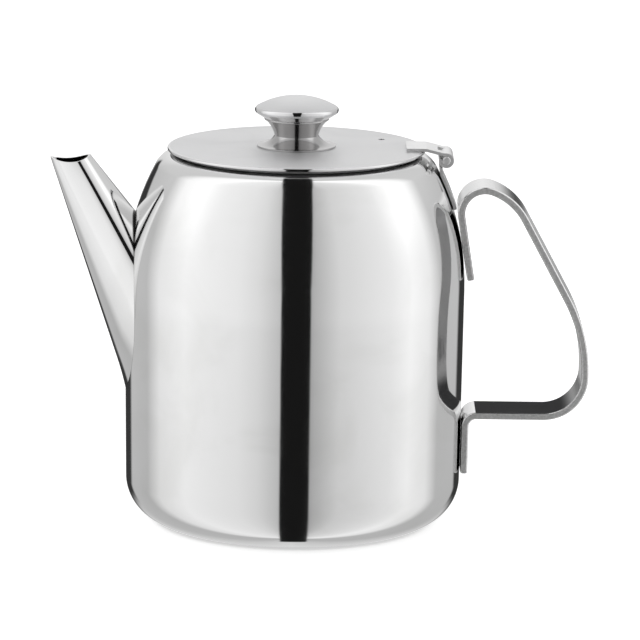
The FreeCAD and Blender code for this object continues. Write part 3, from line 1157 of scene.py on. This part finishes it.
@dataclass
class Lid:
    """Shallow domed lid with a round edge, a steam vent and a seat ring underneath."""

    overhang: float = 3.25
    sheet: float = 1.0
    crown: float = 0.3
    lift: float = 0.8
    vent: float = 2.2
    vent_reach: float = 27.6
    vent_offset: float = 15.5
    vent_facets: int = 48
    dome_steps: int = 24
    ring_sheet: float = 0.8
    ring_depth: float = 4.5
    ring_clearance: float = 0.8
    seam: float = 0.02

    def settle(self, pot: Pot) -> None:
        """Work out the lid's place over the neck.

        Args:
            pot: The pot that it covers.
        """
        self.radius = pot.bore + self.overhang
        self.dome = (self.radius ** 2 + self.crown ** 2) / (2 * self.crown)
        self.rim_top = pot.top + self.lift + self.sheet
        self.centre = at(0, self.rim_top + self.crown - self.dome)

    def top(self, reach: float) -> float:
        """Height of the upper face at a distance from the axis."""
        return self.centre.z + math.sqrt(self.dome ** 2 - reach ** 2)

    def under(self, reach: float) -> float:
        """Height of the lower face at a distance from the axis."""
        return self.centre.z + math.sqrt((self.dome - self.sheet) ** 2 - reach ** 2)

    def build(self, shop: Workshop, pot: Pot) -> None:
        """Make the lid and its seat ring.

        Args:
            shop: Workshop that dresses the pieces.
            pot: The pot that the lid covers.
        """
        edge = self.sheet / 2
        sweep = math.degrees(math.acos((self.radius - edge) / (self.dome - edge)))
        pen = Pen(at(0, self.top(0)))
        pen.arc(self.centre, sweep - QUARTER_TURN, self.dome_steps)
        pen.arc(self.centre + toward(sweep) * (self.dome - edge), -HALF_TURN, self.dome_steps)
        pen.arc(self.centre, QUARTER_TURN - sweep, self.dome_steps)
        plate = solid_object("lid_plate", pen.turned())
        vent_centre = Vector((self.vent_reach, self.vent_offset, self.rim_top))
        carve(plate, [rod("vent_drill", vent_centre, UP, self.vent / 2, self.vent_reach, self.vent_facets)])
        shop.dress(plate, "lid", Body.LID, shop.satin)
        outer = pot.bore - self.ring_clearance
        inner = outer - self.ring_sheet
        high = self.under(outer) - self.seam
        low = high - self.ring_depth
        pen = Pen(at(inner, low))
        for corner in (at(outer, low), at(outer, high), at(inner, high), at(inner, low)):
            pen.to(corner)
        ring = solid_object("lid_ring", pen.turned())
        shop.dress(ring, "lid_seat_ring", Body.LID, shop.satin)


@dataclass
class Hinge:
    """Rolled-eye hinge: a strap on the lid, a leaf on the shoulder and the pin through both."""

    pin: float = 1.35
    clearance: float = 0.05
    reach: float = 6.7
    drop: float = 2.7
    proud: float = 0.3
    pin_facets: int = 64
    pin_segments: int = 3
    pin_profile: float = 0.5
    sheet: float = 1.0
    width: float = 14.8
    on_lid: float = 6.2
    joggle: float = 14.0
    bend: float = 2.0
    wrap: float = 285.0
    knuckle: float = 5.8
    knuckle_gap: float = 0.2
    relief: float = 0.4
    leaf_width: float = 12.0
    leaf_low: float = 18.0
    leaf_high: float = 26.0
    edge_round: float = 0.12
    round_segments: int = 2
    seam: float = 0.02

    def build(self, shop: Workshop, pot: Pot, lid: Lid) -> None:
        """Make the strap, the leaf and the pin.

        Args:
            shop: Workshop that dresses the pieces.
            pot: The pot that carries the leaf.
            lid: The lid that carries the strap.
        """
        self.centre = at(lid.radius + self.reach, lid.rim_top - self.drop)
        self.eye = self.pin + self.clearance + self.sheet / 2
        self.sweep = self.eye + self.sheet / 2 + self.relief
        self.build_strap(shop, lid)
        self.build_leaf(shop, pot)
        self.build_pin(shop)

    def build_strap(self, shop: Workshop, lid: Lid) -> None:
        """Make the lid's strap with its two outer knuckles.

        Args:
            shop: Workshop that dresses the piece.
            lid: The lid that carries it.
        """
        start = lid.radius - self.on_lid
        begin = at(start, lid.top(start) + self.seam + self.sheet / 2)
        strap = Strip(begin, 0, self.sheet, self.width, self.knuckle + 2 * self.knuckle_gap)
        fall = begin.z - self.centre.z - self.eye
        turn = math.radians(self.joggle)
        strap.run(self.on_lid)
        strap.bend(self.bend, -self.joggle)
        slope = (fall - 2 * self.bend * (1 - math.cos(turn))) / math.sin(turn)
        whole = (self.centre.x - self.sweep - strap.place.x) / math.cos(turn)
        strap.run(whole)
        strap.keep(lambda y: abs(y) > self.knuckle / 2)
        strap.run(slope - whole)
        strap.bend(self.bend, self.joggle)
        strap.run(self.centre.x - strap.place.x)
        strap.bend(self.eye, -self.wrap)
        piece = solid_object("lid_strap", strap.finished())
        soften(piece, self.edge_round, self.round_segments)
        shop.dress(piece, "lid_hinge_leaf", Body.LID, shop.hinge)

    def build_leaf(self, shop: Workshop, pot: Pot) -> None:
        """Make the shoulder's leaf with its middle knuckle.

        Args:
            shop: Workshop that dresses the piece.
            pot: The pot that carries it.
        """
        middle = pot.shoulder_curve + self.seam + self.sheet / 2
        to_pin = self.centre - pot.shoulder_centre - toward(self.leaf_high) * (middle + self.eye)
        rise = math.degrees(math.atan2(to_pin.z, to_pin.x))
        shortened = math.sqrt(self.sweep ** 2 - (self.eye - self.sheet / 2) ** 2)
        begin = pot.shoulder_centre + toward(self.leaf_low) * middle
        leaf = Strip(begin, self.leaf_low + QUARTER_TURN, self.sheet, self.leaf_width, self.knuckle)
        leaf.bend(middle, self.leaf_high - self.leaf_low)
        leaf.bend(self.eye, rise - leaf.heading)
        leaf.run(to_pin.length - shortened)
        leaf.keep(lambda y: abs(y) < self.knuckle / 2)
        leaf.run(shortened)
        leaf.bend(self.eye, -self.wrap)
        piece = solid_object("shoulder_leaf", leaf.finished())
        soften(piece, self.edge_round, self.round_segments)
        shop.dress(piece, "body_hinge_leaf", Body.POT, shop.hinge)

    def build_pin(self, shop: Workshop) -> None:
        """Make the pin, with its ends eased.

        Args:
            shop: Workshop that dresses the piece.
        """
        bm = bmesh.new()
        length = self.width + 2 * self.proud
        bmesh.ops.create_cone(
            bm, cap_ends=True, segments=self.pin_facets, radius1=self.pin, radius2=self.pin, depth=length
        )
        rims = [edge for edge in bm.edges if abs(edge.verts[0].co.z - edge.verts[1].co.z) < MERGE]
        bmesh.ops.bevel(
            bm, geom=rims, offset=self.proud, affect="EDGES", segments=self.pin_segments,
            profile=self.pin_profile, material=-1,
        )
        turn = UP.rotation_difference(ACROSS).to_matrix().to_4x4()
        bmesh.ops.transform(bm, matrix=Matrix.Translation(self.centre) @ turn, verts=bm.verts)
        piece = solid_object("hinge_rod", bm)
        shop.dress(piece, "hinge_pin", Body.POT, shop.hinge)


@dataclass
class Knob:
    """Waisted knob: a pressed cap on a turned stem, held from under the lid."""

    sheet: float = 0.8
    radius: float = 13.5
    height: float = 16.4
    dome: float = 25.6
    rim: float = 1.2
    undercut: float = 57.0
    skirt: float = 3.1
    bead: float = 0.8
    spigot_inset: float = 0.25
    spigot: float = 1.0
    stem_bow: float = 0.44
    waist: float = 7.1
    waist_height: float = 3.6
    foot: float = 12.7
    foot_edge: float = 0.5
    foot_bow: float = 0.86
    seam: float = 0.02

    def build(self, shop: Workshop, lid: Lid) -> None:
        """Make the cap and the stem, and coat the hidden fastening.

        Args:
            shop: Workshop that dresses the pieces.
            lid: The lid that the knob stands on.
        """
        base = lid.top(0) + self.seam
        skirt_edge = self.build_cap(shop, base)
        self.build_stem(shop, base, skirt_edge)
        shop.coat("knob_bush", shop.turned)
        shop.coat("knob_screw", shop.fastener)
        shop.coat("knob_washer", shop.fastener)

    def build_cap(self, shop: Workshop, base: float) -> Vector:
        """Make the cap.

        Args:
            shop: Workshop that dresses the piece.
            base: Height of the knob's foot.

        Returns:
            The lower outer edge of the cap's skirt.
        """
        dome_centre = at(0, base + self.height - self.dome)
        sweep = math.degrees(math.acos((self.radius - self.rim) / (self.dome - self.rim)))
        rim_centre = dome_centre + toward(sweep) * (self.dome - self.rim)
        under = toward(-self.undercut - QUARTER_TURN)
        pen = Pen(at(0, base + self.height))
        pen.arc(dome_centre, sweep - QUARTER_TURN, steps_for(QUARTER_TURN))
        pen.arc(rim_centre, -self.undercut - sweep)
        skirt_edge = pen.tip.co + under * self.skirt
        pen.to(skirt_edge)
        pen.to(skirt_edge - toward(-self.undercut) * self.sheet)
        pen.to(rim_centre + toward(-self.undercut) * (self.rim - self.sheet))
        pen.arc(rim_centre, self.undercut + sweep)
        pen.arc(dome_centre, QUARTER_TURN - sweep, steps_for(QUARTER_TURN))
        cap = solid_object("knob_dome", pen.turned())
        shop.dress(cap, "knob_cap", Body.LID, shop.turned)
        return skirt_edge

    def build_stem(self, shop: Workshop, base: float, skirt_edge: Vector) -> None:
        """Make the stem.

        Args:
            shop: Workshop that dresses the piece.
            base: Height of the knob's foot.
            skirt_edge: Lower outer edge of the cap's skirt.
        """
        bore = self.waist - self.sheet
        bead_radius = self.bead / 2
        bead = skirt_edge + toward(-self.undercut - QUARTER_TURN) * (bead_radius + self.seam)
        ledge = bead.z + bead_radius
        spigot = skirt_edge.x - self.sheet - self.spigot_inset
        pen = Pen(at(bore, base))
        pen.to(at(self.foot, base))
        pen.to(at(self.foot, base + self.foot_edge))
        pen.bow(at(self.waist, base + self.waist_height), self.foot_bow)
        pen.bow(bead - UP * bead_radius, self.stem_bow)
        pen.arc(bead, HALF_TURN)
        pen.to(at(spigot, ledge))
        pen.to(at(spigot, ledge + self.spigot))
        pen.to(at(bore, ledge + self.spigot))
        pen.to(at(bore, base))
        stem = solid_object("knob_waist", pen.turned())
        shop.dress(stem, "knob_stem", Body.LID, shop.stem)


@dataclass(frozen=True)
class Wall:
    """Part of the studio round the pot: an azimuth from the camera, and how bright it is there."""

    azimuth: float
    level: float


@dataclass
class Studio:
    """Pale floor, soft surround and the camera.

    The camera's place and the floor's size are in metres, and the camera's three angles are in radians. In
    the surround, azimuths go from the camera's side towards +X, and heights and the gap's widths are parts of
    a unit direction.
    """

    camera_place: tuple[float, float, float] = (0.0, -1.6, 0.39743)
    pitch: float = 0.2045
    yaw: float = 0.0052
    roll: float = 0.013
    sensor: float = 36.0
    lens: float = 283.51
    floor_size: float = 4.0
    floor_tint: tuple[float, float, float] = (0.9, 0.9, 0.9)
    floor_glow: float = 0.55
    walls: tuple[Wall, ...] = (
        Wall(-180, 0.85), Wall(-150, 0.6), Wall(-119, 0.58), Wall(-104, 0.95), Wall(-80, 1.09),
        Wall(-38, 0.95), Wall(-24, 0.84), Wall(-10, 0.64), Wall(10, 0.47), Wall(17, 0.57), Wall(31, 0.78),
        Wall(69, 0.97), Wall(86, 1.13), Wall(104, 1.0), Wall(117, 0.6), Wall(150, 0.58), Wall(180, 0.85),
    )
    low_level: float = 0.9
    low_height: float = -0.26
    level_height: float = -0.195
    high_lift: float = 0.2
    high_height: float = 0.4
    high_start: float = 60.0
    high_full: float = 95.0
    flag_start: float = 145.0
    flag_end: float = 169.0
    flag_blur: float = 6.0
    flag_low: float = -0.45
    flag_low_fade: float = 0.15
    flag_top: float = -0.03
    flag_fade: float = 0.16
    flag_narrowing: float = 80.0
    left_slant_start: float = 157.0
    left_slant_end: float = 170.0
    left_slant_top: float = 0.2
    left_slant_drop: float = -0.34
    flag_level: float = 0.04
    gap_middle: float = 0.02
    gap_half: float = 0.17
    gap_blur: float = 0.01
    gap_view_drop: float = 12.7
    gap_widening: float = 0.3
    gap_lean: float = -0.5
    gap_end: float = -0.3
    gap_end_blur: float = 0.03
    gap_least: float = 0.02
    gap_level: float = 0.01

    def build(self) -> None:
        """Set up the studio."""
        self.build_camera()
        self.build_world()
        self.build_floor()
        bpy.context.scene.view_settings.view_transform = "Standard"

    def build_camera(self) -> None:
        """Place the camera where the photograph was taken from."""
        ahead = Vector((
            math.sin(self.yaw) * math.cos(self.pitch),
            math.cos(self.yaw) * math.cos(self.pitch),
            -math.sin(self.pitch),
        ))
        level = Vector((math.cos(self.yaw), -math.sin(self.yaw), 0))
        top = level.cross(ahead)
        right = level * math.cos(self.roll) + top * math.sin(self.roll)
        upward = top * math.cos(self.roll) - level * math.sin(self.roll)
        data = bpy.data.cameras.new("camera")
        data.sensor_width = self.sensor
        data.lens = self.lens
        camera = bpy.data.objects.new("camera", data)
        turn = Matrix((right, upward, -ahead)).transposed().to_4x4()
        camera.matrix_world = Matrix.Translation(self.camera_place) @ turn
        bpy.context.scene.collection.objects.link(camera)
        bpy.context.scene.camera = camera

    def build_world(self) -> None:
        """Make the surround, with side lights, dark flags and a dark gap, that is white to the camera."""
        world = bpy.data.worlds.new("studio")
        bpy.context.scene.world = world
        world.use_nodes = True
        bench = NodeBench(world.node_tree)
        way = bench.apart(bench.add("ShaderNodeTexCoord").outputs["Generated"])
        front = bench.math("MULTIPLY", way.outputs["Y"], -1.0)
        azimuth = bench.math("DEGREES", bench.math("ARCTAN2", way.outputs["X"], front))
        level = bench.math(
            "MULTIPLY",
            self.side_lights(bench, azimuth),
            self.height_lift(bench, azimuth, way.outputs["Z"]),
        )
        level = self.darkened(bench, level, self.flags(bench, azimuth, way.outputs["Z"]), self.flag_level)
        level = self.darkened(bench, level, self.camera_gap(bench, way, front), self.gap_level)
        surround = bench.add("ShaderNodeBackground")
        bench.feed(surround.inputs["Strength"], level)
        white = bench.add("ShaderNodeBackground")
        for light in (surround, white):
            light.inputs["Color"].default_value = WHITE
        both = bench.add("ShaderNodeMixShader")
        bench.feed(both.inputs[0], bench.add("ShaderNodeLightPath").outputs["Is Camera Ray"])
        bench.feed(both.inputs[1], surround.outputs[0])
        bench.feed(both.inputs[2], white.outputs[0])
        shown = bench.add("ShaderNodeOutputWorld")
        bench.feed(shown.inputs["Surface"], both.outputs[0])

    def side_lights(self, bench: NodeBench, azimuth: bpy.types.NodeSocket) -> bpy.types.NodeSocket:
        """Brightness of the soft walls.

        Args:
            bench: The world's bench.
            azimuth: Direction round the pot, in degrees.

        Returns:
            The brightness.
        """
        ramp = bench.add("ShaderNodeValToRGB")
        bench.feed(ramp.inputs["Fac"], bench.math("DIVIDE", bench.math("ADD", azimuth, HALF_TURN), FULL_TURN))
        stops = ramp.color_ramp.elements
        while len(stops) < len(self.walls):
            stops.new(1.0)
        for stop, wall in zip(stops, self.walls):
            stop.position = (wall.azimuth + HALF_TURN) / FULL_TURN
            stop.color = (wall.level, wall.level, wall.level, 1.0)
        return ramp.outputs["Color"]

    def height_lift(
        self, bench: NodeBench, azimuth: bpy.types.NodeSocket, height: bpy.types.NodeSocket
    ) -> bpy.types.NodeSocket:
        """How the walls darken towards the table and brighten high up at the sides.

        Args:
            bench: The world's bench.
            azimuth: Direction round the pot, in degrees.
            height: Height of the direction.

        Returns:
            The factor on the walls' brightness.
        """
        low = bench.spread(height, self.low_height, self.level_height, self.low_level, 1.0)
        turn = bench.math("ABSOLUTE", azimuth)
        beside = bench.spread(turn, self.high_start, self.high_full, 0.0, self.high_lift)
        high = bench.spread(height, 0.0, self.high_height, 0.0, 1.0)
        return bench.math("ADD", low, bench.math("MULTIPLY", beside, high))

    def flags(
        self, bench: NodeBench, azimuth: bpy.types.NodeSocket, height: bpy.types.NodeSocket
    ) -> bpy.types.NodeSocket:
        """Mask of the two low dark flags behind the pot, which draw its outline.

        Args:
            bench: The world's bench.
            azimuth: Direction round the pot, in degrees.
            height: Height of the direction.

        Returns:
            The mask.
        """
        turn = bench.math("ABSOLUTE", azimuth)
        raised = bench.math("MAXIMUM", height, 0.0)
        start = bench.math("MULTIPLY_ADD", raised, self.flag_narrowing, self.flag_start)
        begins = bench.spread(bench.math("SUBTRACT", turn, start), 0.0, self.flag_blur, 0.0, 1.0)
        ends = bench.spread(turn, self.flag_end, self.flag_end + self.flag_blur, 1.0, 0.0)
        slant = bench.spread(turn, self.left_slant_start, self.left_slant_end, 0.0, self.left_slant_drop)
        left_top = bench.math("ADD", slant, self.left_slant_top)
        left = bench.math("LESS_THAN", azimuth, 0.0)
        top = bench.math("MULTIPLY_ADD", left, left_top, self.flag_top)
        below_top = bench.spread(bench.math("SUBTRACT", height, top), 0.0, self.flag_fade, 1.0, 0.0)
        off_table = bench.spread(height, self.flag_low, self.flag_low + self.flag_low_fade, 0.0, 1.0)
        across = bench.math("MULTIPLY", begins, ends)
        return bench.math("MULTIPLY", across, bench.math("MULTIPLY", below_top, off_table))

    def camera_gap(
        self, bench: NodeBench, way: bpy.types.Node, front: bpy.types.NodeSocket
    ) -> bpy.types.NodeSocket:
        """Mask of the dark upright gap between the front lights, an even band on the pot's front.

        Args:
            bench: The world's bench.
            way: Direction, as three numbers.
            front: How far the direction points to the front.

        Returns:
            The mask.
        """
        lean = math.radians(self.gap_lean)
        level_view = math.cos(math.radians(self.gap_view_drop))
        even_width = bench.math("DIVIDE", bench.math("ADD", front, level_view), 2 * level_view)
        raised = bench.math("MAXIMUM", way.outputs["Z"], 0.0)
        widening = bench.math("MULTIPLY_ADD", raised, self.gap_widening, 1.0)
        width = bench.math("MULTIPLY", even_width, widening)
        offset = bench.math("DIVIDE", way.outputs["X"], bench.math("MAXIMUM", width, self.gap_least))
        side = bench.math("ABSOLUTE", bench.math("SUBTRACT", offset, self.gap_middle))
        inside = bench.spread(side, self.gap_half - self.gap_blur, self.gap_half + self.gap_blur, 1.0, 0.0)
        ahead = bench.math(
            "ADD",
            bench.math("MULTIPLY", front, math.cos(lean)),
            bench.math("MULTIPLY", way.outputs["Z"], -math.sin(lean)),
        )
        blur = self.gap_end_blur
        reach = bench.spread(ahead, self.gap_end - blur, self.gap_end + blur, 0.0, 1.0)
        return bench.math("MULTIPLY", inside, reach)

    def darkened(
        self, bench: NodeBench, level: bpy.types.NodeSocket, mask: bpy.types.NodeSocket, dark: float
    ) -> bpy.types.NodeSocket:
        """Lower the brightness to a dark level inside a mask.

        Args:
            bench: The world's bench.
            level: Brightness so far.
            mask: Where it is dark.
            dark: The dark level.

        Returns:
            The new brightness.
        """
        kept = bench.math("MULTIPLY", level, bench.math("SUBTRACT", 1.0, mask))
        return bench.math("ADD", kept, bench.math("MULTIPLY", mask, dark))

    def build_floor(self) -> None:
        """Make the pale floor, which takes the pot's soft shadow."""
        bm = bmesh.new()
        bmesh.ops.create_grid(bm, x_segments=1, y_segments=1, size=self.floor_size / (2 * MM))
        floor = solid_object("floor", bm)
        made = bpy.data.materials.new("pale floor")
        made.use_nodes = True
        bench = NodeBench(made.node_tree)
        paper = bench.add("ShaderNodeBsdfDiffuse")
        paper.inputs["Color"].default_value = (*self.floor_tint, 1.0)
        glow = bench.add("ShaderNodeEmission")
        seen = bench.add("ShaderNodeLightPath").outputs["Is Camera Ray"]
        bench.feed(glow.inputs["Strength"], bench.math("MULTIPLY", seen, self.floor_glow))
        both = bench.add("ShaderNodeAddShader")
        bench.feed(both.inputs[0], paper.outputs[0])
        bench.feed(both.inputs[1], glow.outputs[0])
        shown = bench.add("ShaderNodeOutputMaterial")
        bench.feed(shown.inputs["Surface"], both.outputs[0])
        floor.data.materials.append(made)
        floor.visible_glossy = False


def main() -> None:
    """Build the pot piece by piece, then the studio round it."""
    logging.basicConfig(level=logging.INFO, format="%(message)s")
    shop = Workshop()
    pot = Pot()
    lid = Lid()
    lid.settle(pot)
    pot.build(shop)
    Spout().build(shop, pot)
    Handle().build(shop, pot)
    lid.build(shop, pot)
    Hinge().build(shop, pot, lid)
    Knob().build(shop, lid)
    Studio().build()


if __name__ == "__main__":
    main()
